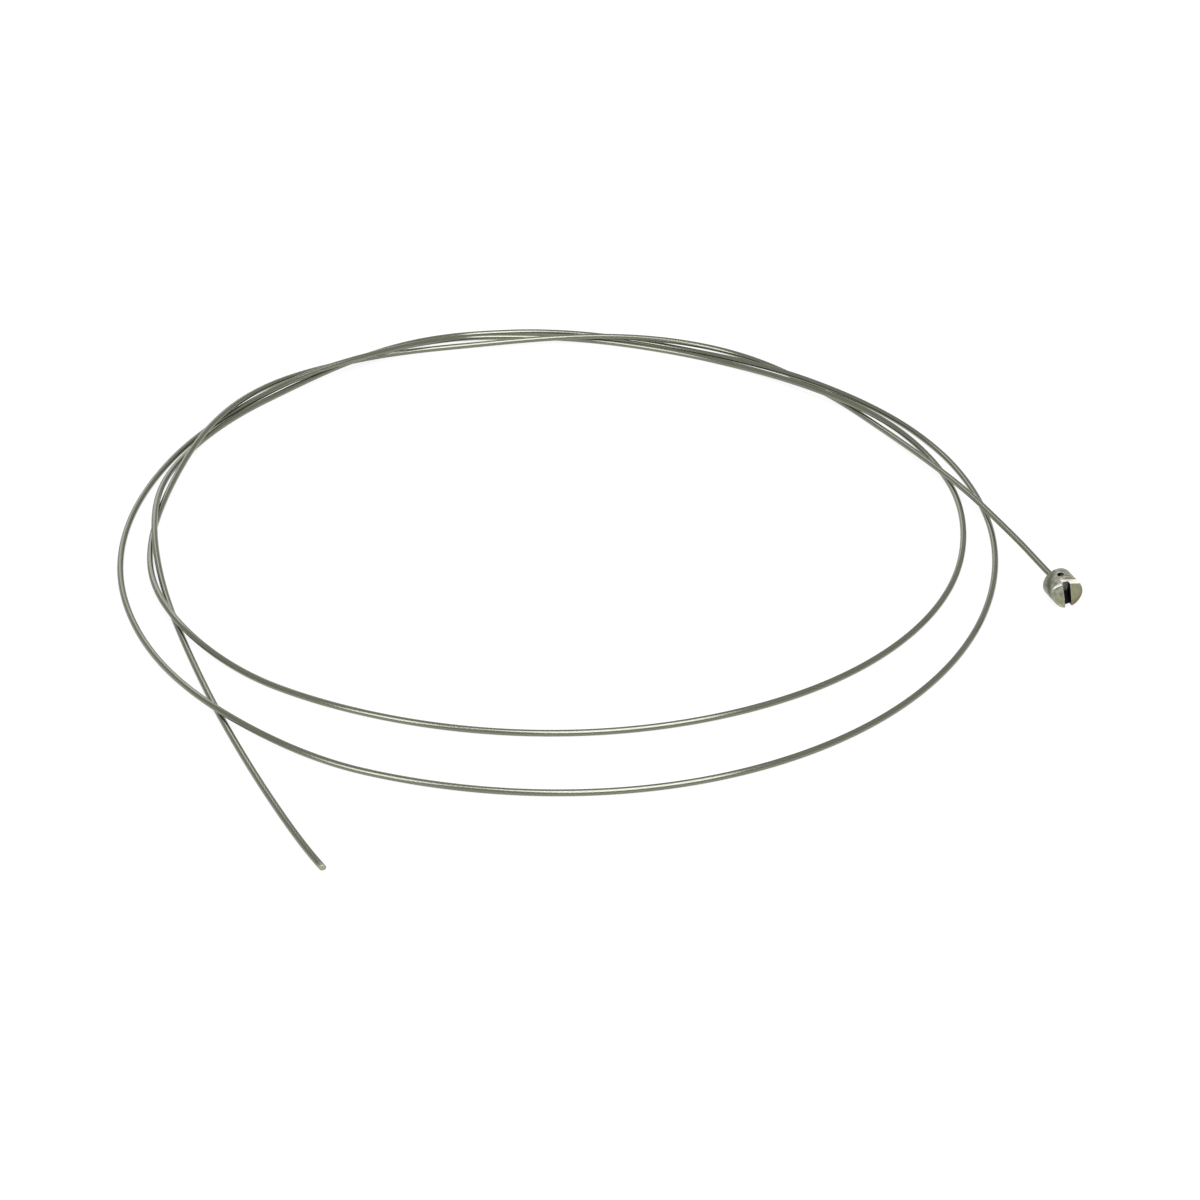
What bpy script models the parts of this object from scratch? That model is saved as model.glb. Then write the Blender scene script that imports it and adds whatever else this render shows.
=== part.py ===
"""Inner cable of a bicycle brake: a bare steel strand with a slotted cast nipple on one end.

The cable lies on a flat surface in a loose coil of two and a half turns. Lengths are in metres,
except where a list says millimetres. +X is right, +Y is away and +Z is up. The origin is on
the surface, at the middle of the box round the whole cable.
"""

from math import cos, pi, radians, sin

import bpy
import numpy as np

MM = 0.001

# Strand
STRAND_DIAMETER = 1.5 * MM
STRAND_RADIUS = STRAND_DIAMETER / 2
STRAND_IN_NIPPLE = 2.4 * MM
COIL_CENTRE = (-8.28 * MM, 13.77 * MM)

# Nipple. Its axis is level, and its rear face is where the strand enters. Left and right are
# as seen from its front.
NIPPLE_DIAMETER = 7.3 * MM
NIPPLE_RADIUS = NIPPLE_DIAMETER / 2
NIPPLE_LENGTH = 6.1 * MM
NIPPLE_EDGE = 0.3 * MM  # rounding of both rims
STRAND_CLEARANCE = 0.3 * MM  # between the strand and its bore
STEP_LENGTH = 1.95 * MM  # flat on top of the front end
STEP_HEIGHT = 2.95 * MM  # of the flat above the axis
STEP_LEAN = radians(-11)  # about the axis, down to the right
SLOT_WIDTH = 1.65 * MM
SLOT_ROUND = 9.0 * MM  # radius of the slot's curved back, which is deepest at the underside
SLOT_DEPTH = 3.2 * MM  # from the front face, at the underside
SLOT_LEAN = radians(9.5)  # about the axis, the top to the left
SLOT_ASIDE = 0.27 * MM  # from the axis to the left
CHEEK_TURN = radians(33)  # of the left cheek's face, away from the slot
CHEEK_TIP = radians(4)  # of the same face, upwards
CHEEK_BACK = 1.85 * MM  # from the front face to where that face meets the left side
HOLE_DIAMETER = 1.2 * MM
HOLE_DEPTH = 1.2 * MM
HOLE_FROM_REAR = 2.7 * MM
SPARE = 1.0 * MM  # how far each cutter stands out of the nipple
ALONG_AXIS = (0, pi / 2, 0)  # lays a cylinder along the nipple

# The route of the strand from inside the nipple to its free end: the angle about the coil's
# centre in degrees, counted on through every turn, and the distance from it in millimetres.
ROUTE = (
    # first turn: out of the nipple, round the back, and inside the others at the front
    (-14.4, 120.9), (-11, 116.4), (-7, 112.1), (0, 106.0), (8, 101.1), (15, 98.1),
    (30, 96.1), (45, 97.9), (60, 100.5), (75, 99.7), (90, 98.6), (105, 99.5),
    (120, 103.1), (135, 105.2), (150, 101.9), (165, 98.4), (180, 97.8), (195, 97.7),
    (210, 96.0), (225, 91.9), (240, 88.0), (255, 85.7), (270, 84.9), (285, 85.4),
    (300, 87.1), (315, 89.8), (330, 92.8), (345, 95.6),
    # second turn: in to the right of the back, and outside the others from the left on
    (360, 97.8), (375, 99.4), (390, 98.1), (405, 95.2), (420, 96.1), (435, 97.5),
    (450, 100.5), (465, 102.1), (480, 99.2), (495, 101.7), (510, 103.4), (525, 103.7),
    (540, 104.4), (555, 105.1), (570, 105.7), (585, 107.2), (600, 107.1), (615, 106.5),
    (645, 106.9), (675, 106.6), (705, 105.1),
    # last part: round the back once more, and out under the second turn to the free end
    (720, 104.5), (735, 103.7), (750, 102.0), (765, 98.0), (780, 97.8), (795, 100.2),
    (810, 103.7), (825, 105.1), (840, 101.7), (855, 101.0), (870, 101.4), (885, 100.7),
    (900, 97.5), (915, 95.7), (930, 97.6), (945, 105.4), (965, 129.2), (970.8, 139.9),
)

# Where the strand leaves the surface, at the nipple and over another stretch of itself: the
# angle of the middle and the half width in degrees, and the rise in millimetres.
RISES = (
    (-15, 52, 2.9), (14, 23, 0.8), (77, 33, 1.85), (152, 30, 2.2), (205, 22, 1.8),
    (400, 26, 1.95), (482, 28, 3.15), (586, 22, 1.8),
    (768, 26, 1.85), (839, 21, 1.8), (899, 24, 1.9),
)

# Where the tube has its points, as angles within a turn: closer where the turns cross.
TURN_ANGLES = (
    0, 12, 25, 37, 48, 60, 72, 84, 97, 110, 120, 128, 136, 144, 153, 162, 171, 180, 188, 197,
    206, 216, 227, 243, 260, 277, 294, 311, 328, 345,
)
LEAD_ANGLES = (-14.4, -11.5, -6, 3)


def clear_scene():
    for obj in list(bpy.data.objects):
        bpy.data.objects.remove(obj, do_unlink=True)


def material(name, colour, roughness, metallic):
    made = bpy.data.materials.new(name)
    made.use_nodes = True
    shader = made.node_tree.nodes["Principled BSDF"]
    shader.inputs["Base Color"].default_value = (*colour, 1.0)
    shader.inputs["Roughness"].default_value = roughness
    shader.inputs["Metallic"].default_value = metallic
    return made


def natural_spline(knots, values, at):
    """The smooth curve through the values, with no bend at its ends, read at some places."""
    knots, values, at = (np.asarray(each, float) for each in (knots, values, at))
    gap = np.diff(knots)
    bends = np.eye(len(knots))
    slopes = np.zeros(len(knots))
    for i in range(1, len(knots) - 1):
        bends[i, i - 1 : i + 2] = gap[i - 1], 2 * (gap[i - 1] + gap[i]), gap[i]
        after = (values[i + 1] - values[i]) / gap[i]
        slopes[i] = 6 * (after - (values[i] - values[i - 1]) / gap[i - 1])
    bend = np.linalg.solve(bends, slopes)
    i = np.clip(np.searchsorted(knots, at, side="right") - 1, 0, len(gap) - 1)
    left, right, wide = at - knots[i], knots[i + 1] - at, gap[i]
    return (
        (bend[i] * right**3 + bend[i + 1] * left**3) / (6 * wide)
        + (values[i] / wide - bend[i] * wide / 6) * right
        + (values[i + 1] / wide - bend[i + 1] * wide / 6) * left
    )


def route_points(angles):
    """Points of the strand's centre line at these angles."""
    knots, radii = zip(*ROUTE)
    radius = natural_spline(knots, radii, angles) * MM
    height = np.full(len(angles), STRAND_RADIUS)
    for middle, half_width, rise in RISES:
        away = np.clip((np.array(angles) - middle) / half_width, -1, 1)
        height += rise * MM * (1 + np.cos(pi * away)) / 2
    turned = np.radians(angles)
    x = COIL_CENTRE[0] + radius * np.cos(turned)
    y = COIL_CENTRE[1] + radius * np.sin(turned)
    return np.column_stack((x, y, height))


def tube_angles():
    """The tube's points: those of the lead, of each turn, and of the free end."""
    first, last = LEAD_ANGLES[-1], ROUTE[-1][0]
    turns = [angle + 360 * turn for turn in range(3) for angle in TURN_ANGLES]
    return [*LEAD_ANGLES, *(a for a in turns if first < a < last - 8), last]


def add_strand(points, steel):
    curve = bpy.data.curves.new("cable_strand", "CURVE")
    curve.dimensions = "3D"
    curve.bevel_depth = STRAND_RADIUS
    curve.bevel_resolution = 2
    curve.use_fill_caps = True
    line = curve.splines.new("POLY")
    line.points.add(len(points) - 1)
    for place, point in zip(line.points, points):
        place.co = (*point, 1)
    line.use_smooth = True
    curve.materials.append(steel)
    strand = bpy.data.objects.new("cable_strand", curve)
    bpy.context.collection.objects.link(strand)
    return strand


def add_place(rear, heading):
    """An empty at the middle of the nipple's rear face, with +X along the nipple to its front."""
    place = bpy.data.objects.new("nipple_place", None)
    place.location = rear
    place.rotation_euler = (0, 0, heading)
    bpy.context.collection.objects.link(place)
    return place


def add_cylinder(name, radius, length, sides, middle, turn, place):
    """A cylinder in the nipple's own frame, turned from standing up."""
    bpy.ops.mesh.primitive_cylinder_add(
        vertices=sides, radius=radius, depth=length, location=middle, rotation=turn
    )
    made = bpy.context.object
    made.name = made.data.name = name
    made.parent = place
    return made


def leaning(x, height, lean, aside=0.0):
    """A place this high above the nipple's axis, turned about the axis, and moved to the left."""
    return (x, -height * sin(lean) - aside * cos(lean), height * cos(lean) - aside * sin(lean))


def cut(solid, cutter):
    cutter.hide_render = True
    cutter.display_type = "WIRE"
    modifier = solid.modifiers.new(cutter.name, "BOOLEAN")
    modifier.operation = "DIFFERENCE"
    modifier.solver = "EXACT"
    modifier.object = cutter


def add_block(name, size, middle, turn, place):
    bpy.ops.mesh.primitive_cube_add(size=1, location=middle, rotation=turn)
    made = bpy.context.object
    made.name = made.data.name = name
    made.scale = size
    made.parent = place
    return made


def step_cutter(place):
    """Takes the top off the front end, down to the flat."""
    long, high = STEP_LENGTH + SPARE, NIPPLE_RADIUS - STEP_HEIGHT + SPARE
    middle_x = NIPPLE_LENGTH - STEP_LENGTH + long / 2
    middle = leaning(middle_x, STEP_HEIGHT + high / 2, STEP_LEAN)
    size = (long, NIPPLE_DIAMETER + SPARE, high)
    return add_block("step_cutter", size, middle, (STEP_LEAN, 0, 0), place)


def cheek_cutter(place):
    """Takes the corner off the left cheek, down to its slanting face."""
    side = NIPPLE_DIAMETER + SPARE
    level = cos(CHEEK_TIP)
    outward = (level * cos(CHEEK_TURN), -level * sin(CHEEK_TURN), sin(CHEEK_TIP))
    edge = (NIPPLE_LENGTH - CHEEK_BACK, -NIPPLE_RADIUS, 0)
    middle = [at + out * side / 2 for at, out in zip(edge, outward)]
    turn = (0, -CHEEK_TIP, -CHEEK_TURN)
    return add_block("cheek_cutter", (side, 2 * side, side), middle, turn, place)


def slot_cutter(place):
    """Cuts the slot into the front face, as a disc would that stands in front of its foot."""
    middle_x = NIPPLE_LENGTH - SLOT_DEPTH + SLOT_ROUND
    middle = leaning(middle_x, -NIPPLE_RADIUS, SLOT_LEAN, SLOT_ASIDE)
    turn = (SLOT_LEAN + pi / 2, 0, 0)
    return add_cylinder("slot_cutter", SLOT_ROUND, SLOT_WIDTH, 120, middle, turn, place)


def hole_cutter(place):
    """Drills the small blind hole behind the step, in the slot's plane."""
    long = HOLE_DEPTH + SPARE
    middle = leaning(HOLE_FROM_REAR, NIPPLE_RADIUS - HOLE_DEPTH + long / 2, SLOT_LEAN)
    turn = (SLOT_LEAN, 0, 0)
    return add_cylinder("hole_cutter", HOLE_DIAMETER / 2, long, 24, middle, turn, place)


def bore_cutter(place):
    """Makes the blind bore in which the strand is held."""
    radius = STRAND_RADIUS + STRAND_CLEARANCE
    depth = STRAND_IN_NIPPLE + STRAND_CLEARANCE
    middle = ((depth - SPARE) / 2, 0, 0)
    return add_cylinder("bore_cutter", radius, depth + SPARE, 24, middle, ALONG_AXIS, place)


def add_nipple(place, zinc):
    middle = (NIPPLE_LENGTH / 2, 0, 0)
    nipple = add_cylinder(
        "cable_nipple", NIPPLE_RADIUS, NIPPLE_LENGTH, 72, middle, ALONG_AXIS, place
    )
    nipple.data.materials.append(zinc)
    rims = nipple.modifiers.new("rims", "BEVEL")
    rims.width = NIPPLE_EDGE
    rims.segments = 3
    rims.limit_method = "ANGLE"
    rims.angle_limit = radians(40)
    for cutter in (step_cutter, cheek_cutter, slot_cutter, hole_cutter, bore_cutter):
        cut(nipple, cutter(place))
    nipple.data.shade_smooth()
    nipple.data.set_sharp_from_angle(angle=radians(35))
    return nipple


def main():
    clear_scene()
    steel = material("strand_steel", (0.42, 0.43, 0.38), 0.35, 1.0)
    zinc = material("nipple_zinc", (0.40, 0.40, 0.33), 0.45, 1.0)
    points = route_points(tube_angles())
    add_strand(points, steel)
    # the nipple sits on the strand's start, and points on along its first stretch
    along = points[0] - points[1]
    heading = np.arctan2(along[1], along[0])
    forward = np.array((cos(heading), sin(heading), 0))
    rear = points[0] - STRAND_IN_NIPPLE * forward
    rear[2] = NIPPLE_RADIUS
    add_nipple(add_place(rear, heading), zinc)


main()
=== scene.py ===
"""Looks of a bicycle brake's inner cable: the twisted strand in its loose coil, and its cast nipple.

Lengths are in metres unless a name or a list says millimetres. +X is right, +Y is away and +Z
is up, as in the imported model.
"""

from math import cos, pi, radians, sin

import bmesh
import bpy
import numpy as np
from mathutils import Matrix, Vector


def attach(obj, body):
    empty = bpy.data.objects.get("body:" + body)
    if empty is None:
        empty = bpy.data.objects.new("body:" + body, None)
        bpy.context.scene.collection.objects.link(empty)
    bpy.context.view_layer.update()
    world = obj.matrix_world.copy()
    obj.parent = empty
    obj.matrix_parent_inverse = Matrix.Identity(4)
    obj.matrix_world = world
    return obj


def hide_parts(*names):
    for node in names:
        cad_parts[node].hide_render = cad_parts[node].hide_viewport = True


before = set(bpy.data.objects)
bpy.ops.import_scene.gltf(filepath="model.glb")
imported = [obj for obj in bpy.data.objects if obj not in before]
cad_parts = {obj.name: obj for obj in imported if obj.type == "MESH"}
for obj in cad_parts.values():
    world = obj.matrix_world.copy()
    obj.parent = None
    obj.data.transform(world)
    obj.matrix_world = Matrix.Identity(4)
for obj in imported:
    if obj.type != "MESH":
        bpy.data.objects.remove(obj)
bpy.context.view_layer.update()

MM = 0.001

# Strand: 12 outer wires, laid round the inner ones
STRAND_RADIUS = 0.75 * MM
STRAND_IN_NIPPLE = 2.4 * MM
COIL_CENTRE = (-8.28 * MM, 13.77 * MM)
WIRES = 12
LAY_LENGTH = 14 * MM
RING_STEP = 0.94 * MM
ROUTE_SAMPLES = 20000
EVEN_SHEEN = 0.7  # how far the wires are polished into one round surface
WIRE_SHADES = 4  # the seed for how much each wire takes the second shade

# Across one wire: each point's angle as a share of the wire's own, its radius as a share of the
# strand's, and how much of the painted shade between the wires it takes.
WIRE_POINTS = ((-0.5, 0.982, 1.0), (-0.37, 0.998, 0.1), (0.0, 1.0, 0.0), (0.37, 0.998, 0.1))

# Free end: fused, with a slanting cut
TIP_LENGTH = 1.6 * MM
TIP_RINGS = 12
TIP_CROWDING = 1.5  # how fast the rings draw together towards the end
TIP_ROUND = 0.25 * MM
TIP_FLAT = 0.3  # the cut's flat middle, as a share of the radius
TIP_TAPER = 0.06
TIP_SLANT = 0.35

# Nipple, in millimetres in its own frame: +X from its rear face to its front, +Y to the right
# as seen from the front, and +Z up from its axis
BODY_RADIUS = 3.65
BODY_LENGTH = 6.1
REAR_RIM = 0.35
FRONT_RIM = 0.25
COLLAR_RADII = (1.3, 0.8)  # at the nipple and at the strand
COLLAR_LENGTH = 1.0
COLLAR_MIDDLE = -0.35
STEP_LENGTH = 1.95
STEP_HEIGHT = 2.95
STEP_LEAN = radians(-11)
SLOT_WIDTH = 1.65
SLOT_ROUND = 8.0
SLOT_DEPTH = 1.9
SLOT_MIDDLE = -0.7
SLOT_LEAN = radians(9.5)
SLOT_ASIDE = 0.27
CHEEK_TURN = radians(33)
CHEEK_TIP = radians(4)
CHEEK_BACK = 1.6
CHEEK_DISH = 0.12
CHEEK_RIM = 0.4
# The strip is a painted highlight along the top of the left cheek, with a painted shade under it
STRIP_ENDS = ((5.38, -1.61, 2.37), (4.36, -3.34, 1.05))  # on the cheek's face
STRIP_WIDTH = 0.55
HOLE_WIDTH = 1.45
HOLE_STRETCH = 1.15
HOLE_DEPTH = 2.6
HOLE_FROM_REAR = 2.58
SPARE = 1.0  # how far each cutter stands out of the nipple
VOXEL = 0.07
SMOOTH_STEPS = 6
BUMPS_APART = 1.1
BUMPS_HIGH = 0.09
EDGE_WEAR = 0.02  # how far smoothing moves an edge that is rubbed all over

# Colours and roughness of the finishes
STEEL = ((0.228, 0.24, 0.184, 1), (0.27, 0.284, 0.228, 1))
STEEL_OTHER_WIRES = (0.222, 0.232, 0.174, 1)
# Painted shade, dark, between the wires
STEEL_GROOVE_SHADE = (0.055, 0.056, 0.04, 1)
STEEL_FUSED = (0.36, 0.37, 0.27, 1)
STEEL_ROUGHNESS = (0.12, 0.2)
FUSED_ROUGHER = 0.4
ZINC = ((0.18, 0.185, 0.115, 1), (0.345, 0.35, 0.29, 1))
ZINC_STAIN_LIMITS = (0.34, 0.6)
ZINC_ROUGHNESS = (0.34, 0.6)
ZINC_METALLIC = 0.75
ZINC_FINISHES = (
    # olive: stains, and the painted shade under the cheek's strip
    ("olive", (0.085, 0.085, 0.045, 1)),
    ("green", (0.27, 0.272, 0.15, 1)),
    ("brown", (0.2, 0.15, 0.08, 1)),
    # bright: painted highlight on the step's flat and the cheek's strip, and rubbed wear with a
    # painted highlight on the edges
    ("bright", (1.0, 1.0, 0.95, 1)),
    # Painted shade, black, inside the slot and the small hole
    ("painted_shade", (0.008, 0.008, 0.006, 1)),
)
PAPER_SHADE = (0.15, 0.15, 0.15, 1)
PAPER_ROUGHNESS = 0.9
PAPER_GLOW = 0.86

# The camera stands in front of the coil and looks down on it.
CAMERA_FROM_COIL = (10.0 * MM, -585.5 * MM)
CAMERA_HEIGHT = 355.1 * MM
CAMERA_DOWN = radians(32.6)
CAMERA_LENS = 84.93

# Each soft lamp's bearing from +X and height in degrees, its distance from the coil, its width
# and its height in metres, and its strength.
LAMPS = {
    "key": (291, 60, 0.85, 0.57, 0.95, 4.0),
    "left_strip": (230, 36, 0.95, 0.3, 0.8, 3.6),
    "back_panel": (113, 21, 0.7, 0.46, 0.3, 1.0),
    "back_strip": (123, 39, 0.8, 0.36, 0.12, 1.75),
}
LAMP_COLOUR = (0.97, 0.98, 1.05)
SURROUND_STRENGTH = 0.7
FLOOR_SIDE = 40

# The route of the strand from inside the nipple to its free end: the angle about the coil's
# centre in degrees, counted on through every turn, and the distance from it in millimetres.
ROUTE = (
    (-14.4, 120.9), (-11, 116.4), (-7, 112.1), (0, 106.0), (8, 101.1), (15, 98.1),
    (30, 96.1), (45, 97.9), (60, 100.5), (75, 99.7), (90, 98.6), (105, 99.5),
    (120, 103.1), (135, 105.2), (150, 101.9), (165, 98.4), (180, 97.8), (195, 97.7),
    (210, 96.0), (225, 91.9), (240, 88.0), (255, 85.7), (270, 84.9), (285, 85.4),
    (300, 87.1), (315, 89.8), (330, 92.8), (345, 95.6),
    (360, 97.8), (375, 99.4), (390, 98.1), (405, 95.2), (420, 96.1), (435, 97.5),
    (450, 100.5), (465, 102.1), (480, 99.2), (495, 101.7), (510, 103.4), (525, 103.7),
    (540, 104.4), (555, 105.1), (570, 105.7), (585, 107.2), (600, 107.1), (615, 106.5),
    (645, 106.9), (675, 106.6), (705, 105.1),
    (720, 104.5), (735, 103.7), (750, 102.0), (765, 98.0), (780, 97.8), (795, 100.2),
    (810, 103.7), (825, 105.1), (840, 101.7), (855, 101.0), (870, 101.4), (885, 100.7),
    (900, 97.5), (915, 95.7), (930, 97.6), (945, 105.4), (965, 129.2), (970.8, 139.9),
)

# Where the strand leaves the surface, at the nipple and over another stretch of itself: the
# angle of the middle and the half width in degrees, and the rise in millimetres.
RISES = (
    (-15, 52, 2.9), (14, 23, 0.8), (77, 33, 1.85), (152, 30, 2.2), (205, 22, 1.8),
    (400, 26, 1.95), (482, 28, 3.15), (586, 22, 1.8),
    (768, 26, 1.85), (839, 21, 1.8), (899, 24, 1.9),
)
NIPPLE_LEAD = (-14.4, -11.5)  # two angles on the route that give the nipple's direction


def natural_spline(knots, values, at):
    """The smooth curve through the values, with no bend at its ends, read at some places."""
    knots, values, at = (np.asarray(each, float) for each in (knots, values, at))
    gap = np.diff(knots)
    bends = np.eye(len(knots))
    slopes = np.zeros(len(knots))
    for i in range(1, len(knots) - 1):
        bends[i, i - 1 : i + 2] = gap[i - 1], 2 * (gap[i - 1] + gap[i]), gap[i]
        after = (values[i + 1] - values[i]) / gap[i]
        slopes[i] = 6 * (after - (values[i] - values[i - 1]) / gap[i - 1])
    bend = np.linalg.solve(bends, slopes)
    i = np.clip(np.searchsorted(knots, at, side="right") - 1, 0, len(gap) - 1)
    left, right, wide = at - knots[i], knots[i + 1] - at, gap[i]
    return (
        (bend[i] * right**3 + bend[i + 1] * left**3) / (6 * wide)
        + (values[i] / wide - bend[i] * wide / 6) * right
        + (values[i + 1] / wide - bend[i + 1] * wide / 6) * left
    )


def route_points(angles):
    """Points of the strand's centre line at these angles."""
    knots, radii = zip(*ROUTE)
    radius = natural_spline(knots, radii, angles) * MM
    height = np.full(len(angles), STRAND_RADIUS)
    for middle, half_width, rise in RISES:
        away = np.clip((np.array(angles) - middle) / half_width, -1, 1)
        height += rise * MM * (1 + np.cos(pi * away)) / 2
    turned = np.radians(angles)
    x = COIL_CENTRE[0] + radius * np.cos(turned)
    y = COIL_CENTRE[1] + radius * np.sin(turned)
    return np.column_stack((x, y, height))


def centre_line(step):
    """The strand's centre line and how far along each point is, with close ones at the free end."""
    fine = route_points(np.linspace(ROUTE[0][0], ROUTE[-1][0], ROUTE_SAMPLES))
    gone = np.concatenate(([0], np.cumsum(np.linalg.norm(np.diff(fine, axis=0), axis=1))))
    whole = gone[-1] - TIP_LENGTH
    even = np.linspace(0, whole, round(whole / step) + 1)
    to_end = (1 - np.arange(1, TIP_RINGS + 1) / TIP_RINGS) ** TIP_CROWDING
    along = np.concatenate((even, gone[-1] - TIP_LENGTH * to_end))
    return np.column_stack([np.interp(along, gone, fine[:, i]) for i in range(3)]), along


def set_camera():
    data = bpy.data.cameras.new("camera")
    data.lens = CAMERA_LENS
    camera = bpy.data.objects.new("camera", data)
    x, y = (at + off for at, off in zip(COIL_CENTRE, CAMERA_FROM_COIL))
    camera.location = (x, y, CAMERA_HEIGHT)
    camera.rotation_euler = (pi / 2 - CAMERA_DOWN, 0, 0)
    bpy.context.collection.objects.link(camera)
    bpy.context.scene.camera = camera


# Materials


def new_material(name):
    """A material, its node tree and its main shader."""
    made = bpy.data.materials.new(name)
    made.use_nodes = True
    tree = made.node_tree
    return made, tree, tree.nodes["Principled BSDF"]


def add_node(tree, kind, inputs=None, **settings):
    """A node with its settings, whose inputs take numbers or other nodes' outputs."""
    node = tree.nodes.new(kind)
    for name, value in settings.items():
        setattr(node, name, value)
    for name, value in (inputs or {}).items():
        if isinstance(value, bpy.types.NodeSocket):
            tree.links.new(value, node.inputs[name])
        else:
            node.inputs[name].default_value = value
    return node


def mix_colour(tree, share, first, second):
    """Two colours mixed, each one a colour or another node's output."""
    node = tree.nodes.new("ShaderNodeMix")
    node.data_type = "RGBA"
    for slot, value in ((0, share), (6, first), (7, second)):
        if isinstance(value, bpy.types.NodeSocket):
            tree.links.new(value, node.inputs[slot])
        else:
            node.inputs[slot].default_value = value
    return node.outputs[2]


def noise(tree, at, scale, detail):
    inputs = {"Vector": at, "Scale": scale, "Detail": detail}
    return add_node(tree, "ShaderNodeTexNoise", inputs).outputs["Fac"]


def painted(tree, name):
    """How much of a finish the mesh carries, from its attribute."""
    return add_node(tree, "ShaderNodeAttribute", attribute_name=name).outputs["Fac"]


def calculate(tree, operation, *values):
    """The result of a Math node."""
    return add_node(tree, "ShaderNodeMath", dict(enumerate(values)), operation=operation).outputs[0]


def spread(tree, value, low, high, start=0.0, end=1.0):
    """The value between start and end, spread over low to high."""
    inputs = {"Value": value, "From Min": start, "From Max": end, "To Min": low, "To Max": high}
    return add_node(tree, "ShaderNodeMapRange", inputs).outputs["Result"]


def add_relief(tree, shader, height, strength, deep):
    inputs = {"Height": height, "Strength": strength, "Distance": deep}
    relief = add_node(tree, "ShaderNodeBump", inputs)
    tree.links.new(relief.outputs["Normal"], shader.inputs["Normal"])


def steel_of_strand():
    """Dull galvanised wire: olive grey, with painted shade between the wires, and fine lengthwise
    marks.
    """
    made, tree, shader = new_material("strand_steel")
    shader.inputs["Metallic"].default_value = 1.0
    place = add_node(tree, "ShaderNodeTexCoord").outputs["Object"]
    uv = add_node(tree, "ShaderNodeUVMap", uv_map="wires").outputs["UV"]
    colour = mix_colour(tree, noise(tree, place, 45.0, 3.0), *STEEL)
    colour = mix_colour(tree, painted(tree, "wire"), colour, STEEL_OTHER_WIRES)
    # Painted shade between the wires
    colour = mix_colour(tree, painted(tree, "groove_shade"), colour, STEEL_GROOVE_SHADE)
    colour = mix_colour(tree, painted(tree, "tip"), colour, STEEL_FUSED)
    tree.links.new(colour, shader.inputs["Base Color"])
    streaks = add_node(tree, "ShaderNodeMapping", {"Vector": uv, "Scale": (220.0, 60.0, 1.0)})
    marks = noise(tree, streaks.outputs["Vector"], 1.0, 4.0)
    rough = spread(tree, marks, *STEEL_ROUGHNESS, start=0.3, end=0.7)
    rough = calculate(tree, "MULTIPLY_ADD", painted(tree, "tip"), FUSED_ROUGHER, rough)
    tree.links.new(rough, shader.inputs["Roughness"])
    add_relief(tree, shader, marks, 0.1, 0.01 * MM)
    return made


def zinc_of_nipple():
    """Cast zinc: warm grey, rubbed bright on its edges with a painted highlight there too, with
    olive and brown stains, painted highlights on the step's flat and the left cheek, and painted
    shade in the slot, the hole and under the cheek's strip.
    """
    made, tree, shader = new_material("nipple_zinc")
    shader.inputs["Metallic"].default_value = ZINC_METALLIC
    place = add_node(tree, "ShaderNodeTexCoord").outputs["Object"]
    ramp = add_node(tree, "ShaderNodeValToRGB", {"Fac": noise(tree, place, 900.0, 5.0)})
    for stop, limit, shade in zip(ramp.color_ramp.elements, ZINC_STAIN_LIMITS, ZINC):
        stop.position = limit
        stop.color = shade
    colour = ramp.outputs["Color"]
    for name, paint in ZINC_FINISHES:
        colour = mix_colour(tree, painted(tree, name), colour, paint)
    tree.links.new(colour, shader.inputs["Base Color"])
    grain = noise(tree, place, 5200.0, 5.0)
    tree.links.new(spread(tree, grain, *ZINC_ROUGHNESS), shader.inputs["Roughness"])
    add_relief(tree, shader, grain, 0.3, 0.04 * MM)
    return made


def white_floor():
    """Paper white where it is seen or mirrored, with the shadows that fall on it."""
    made, tree, shader = new_material("white_paper")
    shader.inputs["Base Color"].default_value = PAPER_SHADE
    shader.inputs["Roughness"].default_value = PAPER_ROUGHNESS
    shader.inputs["Specular IOR Level"].default_value = 0.0
    shader.inputs["Emission Color"].default_value = (1, 1, 1, 1)
    ray = add_node(tree, "ShaderNodeLightPath").outputs
    seen = calculate(tree, "MAXIMUM", ray["Is Camera Ray"], ray["Is Glossy Ray"])
    seen = calculate(tree, "MAXIMUM", seen, ray["Is Transmission Ray"])
    glow = calculate(tree, "MULTIPLY", seen, PAPER_GLOW)
    tree.links.new(glow, shader.inputs["Emission Strength"])
    return made


# Meshes


def corners_of(mesh):
    places = np.empty(3 * len(mesh.vertices))
    mesh.vertices.foreach_get("co", places)
    return places.reshape(-1, 3)


def normals_of(mesh):
    facing = np.empty(3 * len(mesh.vertices))
    mesh.vertex_normals.foreach_get("vector", facing)
    return facing.reshape(-1, 3)


def store(mesh, name, values):
    layer = mesh.attributes.new(name, "FLOAT", "POINT")
    layer.data.foreach_set("value", np.asarray(values, np.float32))


# Strand


def carried_frames(line):
    """The direction ahead and two across it at each point, carried along without twisting."""
    ahead = np.gradient(line, axis=0)
    ahead /= np.linalg.norm(ahead, axis=1)[:, None]
    side = np.cross((0, 0, 1), ahead[0])
    sides = []
    for along in ahead:
        side = side - along * side.dot(along)
        side = side / np.linalg.norm(side)
        sides.append(side)
    sides = np.array(sides)
    return ahead, sides, np.cross(ahead, sides)


def once_round():
    """Once round the strand: each point's angle, its radius, and its share of the painted shade
    between the wires.
    """
    pitch = 2 * pi / WIRES
    rows = [
        ((wire + across) * pitch, share * STRAND_RADIUS, deep)
        for wire in range(WIRES)
        for across, share, deep in WIRE_POINTS
    ]
    return np.array(rows).T


def tube_faces(rings, count):
    """Faces between rings of this many points, with a cap on each end."""
    ring = np.arange(rings - 1)[:, None] * count
    here = np.arange(count)[None, :]
    there = (here + 1) % count
    faces = np.stack((ring + here, ring + there, ring + count + there, ring + count + here), -1)
    faces = [tuple(face) for face in faces.reshape(-1, 4).tolist()]
    faces.append(tuple(range(count - 1, -1, -1)))
    faces.append(tuple(range((rings - 1) * count, rings * count)))
    return faces


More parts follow.
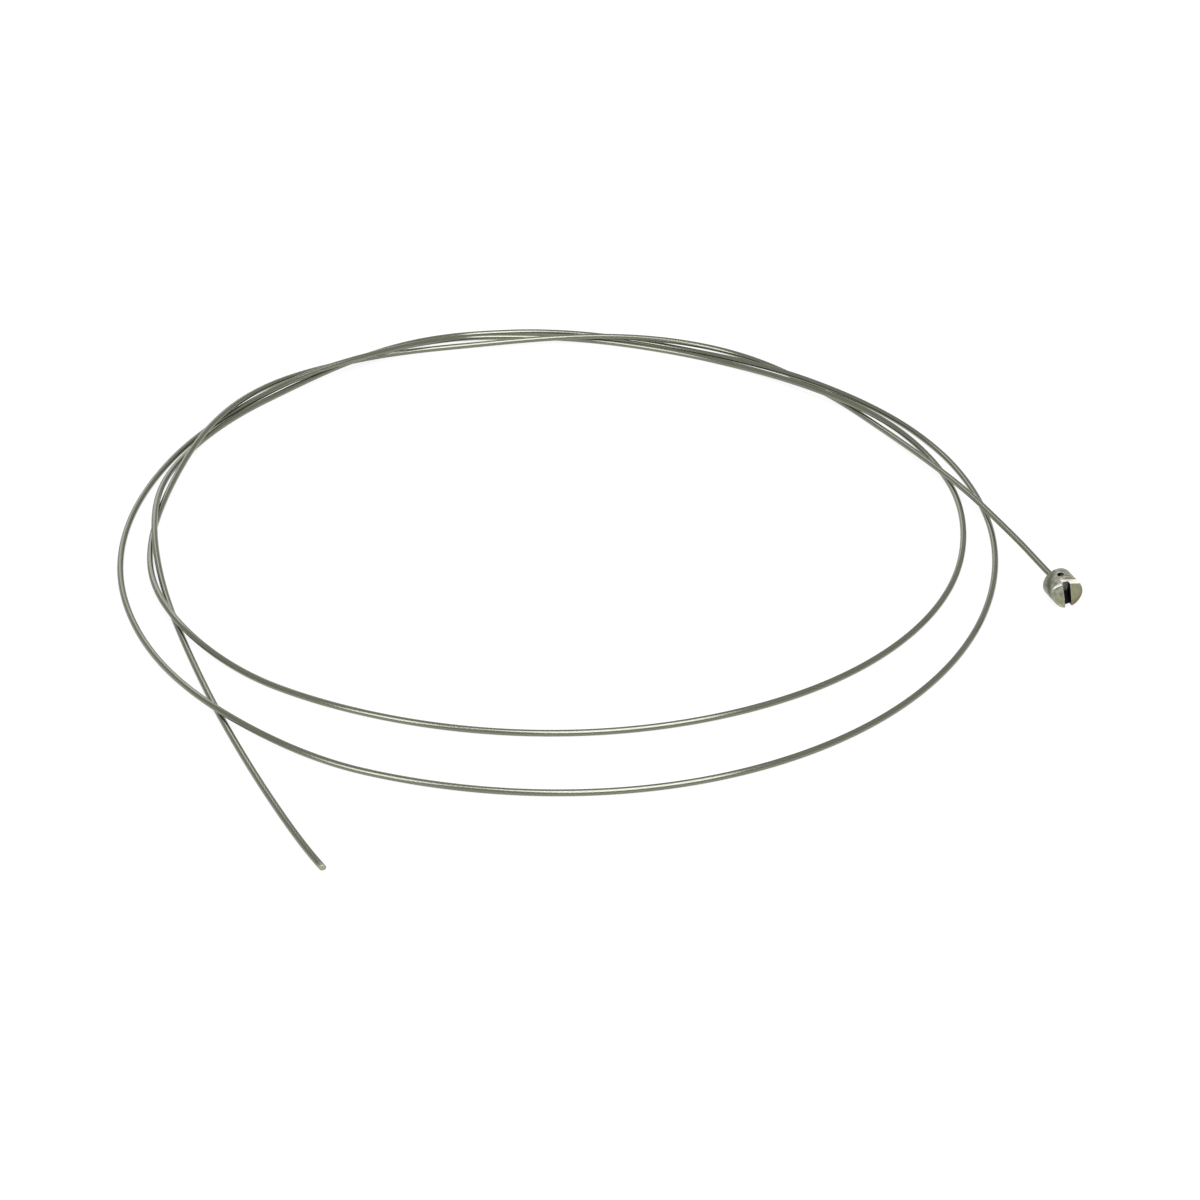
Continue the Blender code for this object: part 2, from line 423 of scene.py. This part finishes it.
def lay_out_wires(mesh, along, count):
    """The UV map: metres along the strand, and the share of the way round it."""
    uv = mesh.uv_layers.new(name="wires")
    corner = np.empty(len(mesh.loops), np.int32)
    mesh.loops.foreach_get("vertex_index", corner)
    across = (corner % count) / count
    flat = np.column_stack((along[corner // count], across)).astype(np.float32)
    uv.data.foreach_set("uv", flat.ravel())


def make_strand(steel):
    line, along = centre_line(RING_STEP)
    ahead, side, up = carried_frames(line)
    angle, radius, deep = once_round()
    count, rings = len(angle), len(line)
    turned = angle[None, :] + (2 * pi * along / LAY_LENGTH)[:, None]
    to_end = along[-1] - along
    near_tip = np.clip(1 - to_end / TIP_LENGTH, 0, 1)
    dome = np.sqrt(1 - np.clip(1 - to_end / TIP_ROUND, 0, 1) ** 2)
    narrower = (TIP_FLAT + (1 - TIP_FLAT) * dome) * (1 - TIP_TAPER * near_tip)
    reach = radius[None, :] * narrower[:, None]
    to_side = reach * np.cos(turned)
    points = (
        line[:, None, :]
        + side[:, None, :] * to_side[:, :, None]
        + up[:, None, :] * (reach * np.sin(turned))[:, :, None]
        + ahead[:, None, :] * (TIP_SLANT * near_tip[:, None] * to_side)[:, :, None]
    )
    mesh = bpy.data.meshes.new("strand")
    mesh.from_pydata(points.reshape(-1, 3).tolist(), [], tube_faces(rings, count))
    mesh.update()
    shade = np.random.default_rng(WIRE_SHADES).random(WIRES)
    # How much painted shade each point takes between the wires
    store(mesh, "groove_shade", np.tile(deep, rings))
    store(mesh, "wire", np.tile(np.repeat(shade, count // WIRES), rings))
    store(mesh, "tip", np.repeat(near_tip, count))
    lay_out_wires(mesh, along, count)
    mesh.materials.append(steel)
    strand = bpy.data.objects.new("strand", mesh)
    bpy.context.collection.objects.link(strand)
    mesh.shade_smooth()
    outward = (points - line[:, None, :]).reshape(-1, 3)
    outward /= np.linalg.norm(outward, axis=1)[:, None]
    even = EVEN_SHEEN * (to_end > TIP_LENGTH / 2).repeat(count)[:, None]
    mesh.normals_split_custom_set_from_vertices(even * outward + (1 - even) * normals_of(mesh))
    return strand, line


# Nipple


def start_clean():
    """Leaves nothing selected."""
    bpy.ops.object.select_all(action="DESELECT")


def apply_modifier(piece, kind, **settings):
    bpy.context.view_layer.objects.active = piece
    modifier = piece.modifiers.new(kind.lower(), kind)
    for name, value in settings.items():
        setattr(modifier, name, value)
    bpy.ops.object.modifier_apply(modifier=modifier.name)


def cut_away(piece, tool, operation="DIFFERENCE"):
    apply_modifier(piece, "BOOLEAN", object=tool, operation=operation, solver="EXACT")
    bpy.data.objects.remove(tool, do_unlink=True)


def add_block(size, middle, turn):
    start_clean()
    bpy.ops.mesh.primitive_cube_add(size=1, location=middle, rotation=turn, scale=size)
    return bpy.context.object


def add_disc(radius, thick, middle, turn=(0, pi / 2, 0), sides=96):
    start_clean()
    bpy.ops.mesh.primitive_cylinder_add(
        vertices=sides, radius=radius, depth=thick, location=middle, rotation=turn
    )
    return bpy.context.object


def round_rim(piece, x, width, segments):
    """Rounds the edges of the piece that lie in the plane at x."""
    bpy.ops.object.mode_set(mode="EDIT")
    bpy.ops.mesh.select_mode(type="EDGE")
    bpy.ops.mesh.select_all(action="DESELECT")
    shape = bmesh.from_edit_mesh(piece.data)
    for edge in shape.edges:
        edge.select = all(abs(corner.co.x - x) < 0.01 for corner in edge.verts)
    bmesh.update_edit_mesh(piece.data)
    bpy.ops.mesh.bevel(offset=width, segments=segments, affect="EDGES")
    bpy.ops.object.mode_set(mode="OBJECT")


def leaning(x, height, lean, aside=0.0):
    """A place this high above the axis, turned about it, and moved to the left."""
    return (x, -height * sin(lean) - aside * cos(lean), height * cos(lean) - aside * sin(lean))


def nipple_body():
    """The cast cylinder, with the strand's collar on its rear face."""
    body = add_disc(BODY_RADIUS, BODY_LENGTH, (BODY_LENGTH / 2, 0, 0))
    bpy.ops.object.transform_apply(location=True, rotation=True, scale=True)
    round_rim(body, 0, REAR_RIM, 5)
    round_rim(body, BODY_LENGTH, FRONT_RIM, 3)
    start_clean()
    bpy.ops.mesh.primitive_cone_add(
        vertices=48,
        radius1=COLLAR_RADII[0],
        radius2=COLLAR_RADII[1],
        depth=COLLAR_LENGTH,
        location=(COLLAR_MIDDLE, 0, 0),
        rotation=(0, -pi / 2, 0),
    )
    cut_away(body, bpy.context.object, "UNION")
    return body


def cheek_block(deeper=0.0):
    """Stands in front of the left cheek's slanting face."""
    side = 2 * BODY_RADIUS + SPARE
    level = cos(CHEEK_TIP)
    outward = (level * cos(CHEEK_TURN), -level * sin(CHEEK_TURN), sin(CHEEK_TIP))
    edge = (BODY_LENGTH - CHEEK_BACK, -BODY_RADIUS, 0)
    middle = [at + out * (side / 2 - deeper) for at, out in zip(edge, outward)]
    return add_block((side, 2 * side, side), middle, (0, -CHEEK_TIP, -CHEEK_TURN))


def cut_nipple(body):
    """Cuts the step, the slanting cheek and its dish, the slot and the hole."""
    long, high = STEP_LENGTH + SPARE, BODY_RADIUS - STEP_HEIGHT + SPARE
    middle = leaning(BODY_LENGTH - STEP_LENGTH + long / 2, STEP_HEIGHT + high / 2, STEP_LEAN)
    cut_away(body, add_block((long, 2 * BODY_RADIUS + SPARE, high), middle, (STEP_LEAN, 0, 0)))
    cut_away(body, cheek_block())
    dish = cheek_block(CHEEK_DISH)
    round_space = add_disc(BODY_RADIUS - CHEEK_RIM, 4 * BODY_LENGTH, (0, 0, 0))
    cut_away(dish, round_space, "INTERSECT")
    cut_away(body, dish)
    middle = leaning(BODY_LENGTH - SLOT_DEPTH + SLOT_ROUND, SLOT_MIDDLE, SLOT_LEAN, SLOT_ASIDE)
    cut_away(body, add_disc(SLOT_ROUND, SLOT_WIDTH, middle, (SLOT_LEAN + pi / 2, 0, 0), 160))
    middle = leaning(HOLE_FROM_REAR, BODY_RADIUS + (SPARE - HOLE_DEPTH) / 2, SLOT_LEAN)
    hole = add_disc(HOLE_WIDTH / 2, HOLE_DEPTH + SPARE, middle, (SLOT_LEAN, 0, 0), 32)
    hole.scale.x = HOLE_STRETCH
    cut_away(body, hole)


def soften_casting(body):
    """Gives the cut shape soft edges and uneven sides, and says how far each edge moved."""
    apply_modifier(body, "REMESH", mode="VOXEL", voxel_size=VOXEL, adaptivity=0.0)
    sharp = corners_of(body.data)
    apply_modifier(body, "SMOOTH", factor=0.5, iterations=SMOOTH_STEPS)
    edges = ((sharp - corners_of(body.data)) * normals_of(body.data)).sum(axis=1)
    uneven = bpy.data.textures.new("uneven_casting", "CLOUDS")
    uneven.noise_scale = BUMPS_APART
    uneven.noise_depth = 3
    apply_modifier(body, "DISPLACE", texture=uneven, strength=BUMPS_HIGH, mid_level=0.5)
    return edges


# Finishes on the nipple, painted highlights and painted shade among them: each is a share from 0 to
# 1 at every point. Their places are in millimetres in the nipple's own frame, and front is how far a
# point faces forwards.


def between(value, low, high):
    """0 up to low, 1 from high on, and smooth in between. The limits may run downwards."""
    share = np.clip((value - low) / (high - low), 0, 1)
    return share * share * (3 - 2 * share)


def spot(at, middle, width):
    """1 at the middle, falling off smoothly over the width."""
    return np.exp(-(((at - middle) / width) ** 2))


def from_slot(places):
    """How far each point is to the right of the slot's middle."""
    across = leaning(0, 0, SLOT_LEAN, -1)
    return places[:, 1] * across[1] + places[:, 2] * across[2] + SLOT_ASIDE


def step_finishes(places, facing):
    """The step's flat top, which carries a painted highlight, the wall behind it, and the edge in
    front, under the flat.
    """
    x, y, z = places.T
    front = facing[:, 0]
    up = leaning(0, 1, STEP_LEAN)
    above = y * up[1] + z * up[2] - STEP_HEIGHT
    start = BODY_LENGTH - STEP_LENGTH
    # Painted highlight on the step's flat top
    flat = between(np.abs(above), 0.14, 0.06) * between(facing @ up, 0.75, 0.93)
    flat *= between(x, start, start + 0.2)
    wall = between(front, 0.3, 0.7) * between(above, 0.05, 0.2)
    wall *= between(x, BODY_LENGTH - 1.0, BODY_LENGTH - 1.4)
    edge = between(above, -0.35, -0.15) * between(above, 0.0, -0.1) * between(front, 0.5, 0.8)
    return flat, wall, edge


def cheek_finishes(places, front):
    """The flat faces to the right and to the left of the slot."""
    aside = from_slot(places)
    right = between(front, 0.85, 0.95) * between(aside, 0.8, 1.0)
    left = between(front, 0.65, 0.78) * between(front, 0.97, 0.92) * between(aside, -0.8, -1.0)
    return right, left


def strip_finishes(places, front, left_cheek):
    """The painted highlight, a bright strip along the top of the left cheek, and the painted shade,
    a dark line under it.
    """
    far_end, near_end = (np.array(end) for end in STRIP_ENDS)
    run = far_end - near_end
    long = np.linalg.norm(run)
    run /= long
    rise = np.cross(run, np.cross((0.0, 0.0, 1.0), run))
    rise /= np.linalg.norm(rise)
    above, gone = (places - near_end) @ rise, (places - near_end) @ run
    strip = between(above, -0.05, 0.05) * between(above, STRIP_WIDTH + 0.1, STRIP_WIDTH - 0.05)
    strip *= between(gone, -0.3, 0.2) * between(gone, long + 0.3, long) * between(front, 0.4, 0.7)
    # The second share is the painted shade under the strip
    return strip, left_cheek * spot(above, -0.1, 0.12) * between(gone, 0.0, 0.4)


def side_stains(places):
    """The band round the left side, the rear rim, and the patch between hole and step."""
    x, y, z = places.T
    round_left = np.degrees(np.arctan2(-y, z))  # from the top, to the left
    outside = between(np.hypot(y, z), BODY_RADIUS - 0.35, BODY_RADIUS - 0.15)
    band = spot(x - 1.4 - 0.035 * (round_left - 40), 0, 1.0)
    band *= between(round_left, 8, 35) * between(round_left, 120, 95)
    rim = between(x, 0.7, 0.2) * between(np.abs(round_left), 100, 60)
    patch = between(x, 3.2, 3.8) * between(x, 4.3, 4.1) * between(np.abs(round_left - 8), 36, 24)
    return outside * band, outside * rim, outside * patch


def slot_painted_shade(places, front, flat, edge_wear_and_highlight):
    """Painted shade, black, inside the slot, apart from its rubbed edges and the top of its back."""
    x, y, z = places.T
    away = np.hypot(y, z)
    inside = between(np.abs(from_slot(places)), SLOT_WIDTH / 2 + 0.12, SLOT_WIDTH / 2 + 0.02)
    inside *= between(x, 3.9, 4.0) * (1 - flat) * (1 - between(away, 3.5, 3.6))
    back = inside * between(front, 0.3, 0.7)
    return inside * (1 - back * between(z, -0.3, 0.9)) * (1 - between(edge_wear_and_highlight, 0.3, 0.8))


def hole_painted_shade(places):
    """Painted shade, black, inside the small hole, below its rim."""
    x, y, z = places.T
    hole = leaning(HOLE_FROM_REAR, BODY_RADIUS, SLOT_LEAN)
    away = np.hypot((x - hole[0]) / HOLE_STRETCH, y - hole[1])
    inside = between(away, HOLE_WIDTH / 2 + 0.1, HOLE_WIDTH / 2) * between(z, 3.52, 3.38)
    return inside * between(z, 0.4, 0.6) * between(x, 3.8, 3.7)


def nipple_finishes(places, facing, edges):
    """How much of each stain, rubbed finish, painted highlight or painted shade is on each point of
    the nipple.
    """
    y, z = places[:, 1], places[:, 2]
    front = facing[:, 0]
    # Rubbed wear on the convex edges, which also carries a painted edge highlight
    edge_wear_and_highlight, hollow = np.clip(edges / EDGE_WEAR, 0, 1), np.clip(-edges / EDGE_WEAR, 0, 1)
    flat, wall, step_edge = step_finishes(places, facing)
    right_cheek, left_cheek = cheek_finishes(places, front)
    strip, painted_shade_under_strip = strip_finishes(places, front, left_cheek)
    band, rear_rim, patch = side_stains(places)
    low_left = left_cheek * between(z, 0.8, -2.0)
    right_rim = right_cheek * between(np.hypot(y - 0.3, z - 0.9), 2.2, 3.6)
    shares = {
        # olive: stains, and the painted shade under the cheek's strip
        "olive": 0.9 * band + 0.5 * rear_rim + 0.5 * hollow + 0.8 * step_edge + painted_shade_under_strip,
        "brown": 0.6 * wall + 0.25 * patch + 0.8 * right_rim,
        "green": 0.75 * np.clip(right_cheek + low_left, 0, 1),
        # bright: painted highlight on the flat and the strip, rubbed wear with a painted highlight
        # on the edges
        "bright": flat + 0.75 * strip + 0.5 * edge_wear_and_highlight,
        # Painted shade inside the slot and the hole
        "painted_shade": np.maximum(slot_painted_shade(places, front, flat, edge_wear_and_highlight), hole_painted_shade(places)),
    }
    return {name: np.clip(share, 0, 1) for name, share in shares.items()}


def make_nipple(zinc, rear, heading):
    body = nipple_body()
    cut_nipple(body)
    edges = soften_casting(body)
    body.name = body.data.name = "nipple"
    body.data.materials.clear()
    body.data.materials.append(zinc)
    mesh = body.data
    for name, share in nipple_finishes(corners_of(mesh), normals_of(mesh), edges).items():
        store(mesh, name, share)
    start_clean()
    body.select_set(True)
    bpy.context.view_layer.objects.active = body
    body.scale = (MM, MM, MM)
    body.rotation_euler = (0, 0, heading)
    body.location = rear
    bpy.ops.object.transform_apply(location=True, rotation=True, scale=True)
    mesh.shade_smooth()
    return body


# Studio


def make_floor():
    start_clean()
    bpy.ops.mesh.primitive_plane_add(size=FLOOR_SIDE)
    floor = bpy.context.object
    floor.name = "floor"
    floor.data.materials.append(white_floor())


def add_softbox(name, compass, height, away, wide, tall, strength):
    """A soft lamp that faces the coil, as bright all over as its strength says."""
    data = bpy.data.lights.new(name, "AREA")
    data.shape = "RECTANGLE"
    data.size = wide
    data.size_y = tall
    data.energy = strength * pi * wide * tall
    data.color = LAMP_COLOUR
    lamp = bpy.data.objects.new(name, data)
    bearing, up = radians(compass), radians(height)
    toward = Vector((cos(up) * cos(bearing), cos(up) * sin(bearing), sin(up)))
    lamp.location = Vector((*COIL_CENTRE, 0)) + away * toward
    lamp.rotation_euler = toward.to_track_quat("Z", "Y").to_euler()
    bpy.context.collection.objects.link(lamp)


def make_light():
    world = bpy.data.worlds.new("studio")
    bpy.context.scene.world = world
    world.use_nodes = True
    surround = world.node_tree.nodes["Background"]
    surround.inputs["Color"].default_value = (1, 1, 1, 1)
    surround.inputs["Strength"].default_value = SURROUND_STRENGTH
    for name, settings in LAMPS.items():
        add_softbox(name, *settings)


set_camera()
steel = steel_of_strand()
strand, strand_line = make_strand(steel)
lead = route_points(NIPPLE_LEAD)
along = lead[0] - lead[1]
heading = np.arctan2(along[1], along[0])
forward = np.array((cos(heading), sin(heading), 0))
rear = lead[0] - STRAND_IN_NIPPLE * forward
rear[2] = BODY_RADIUS * MM
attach(strand, "root")
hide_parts("cable_strand")
nipple = make_nipple(zinc_of_nipple(), rear, heading)
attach(nipple, "root")
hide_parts("cable_nipple")
make_floor()
make_light()
bpy.context.scene.view_settings.view_transform = "Standard"
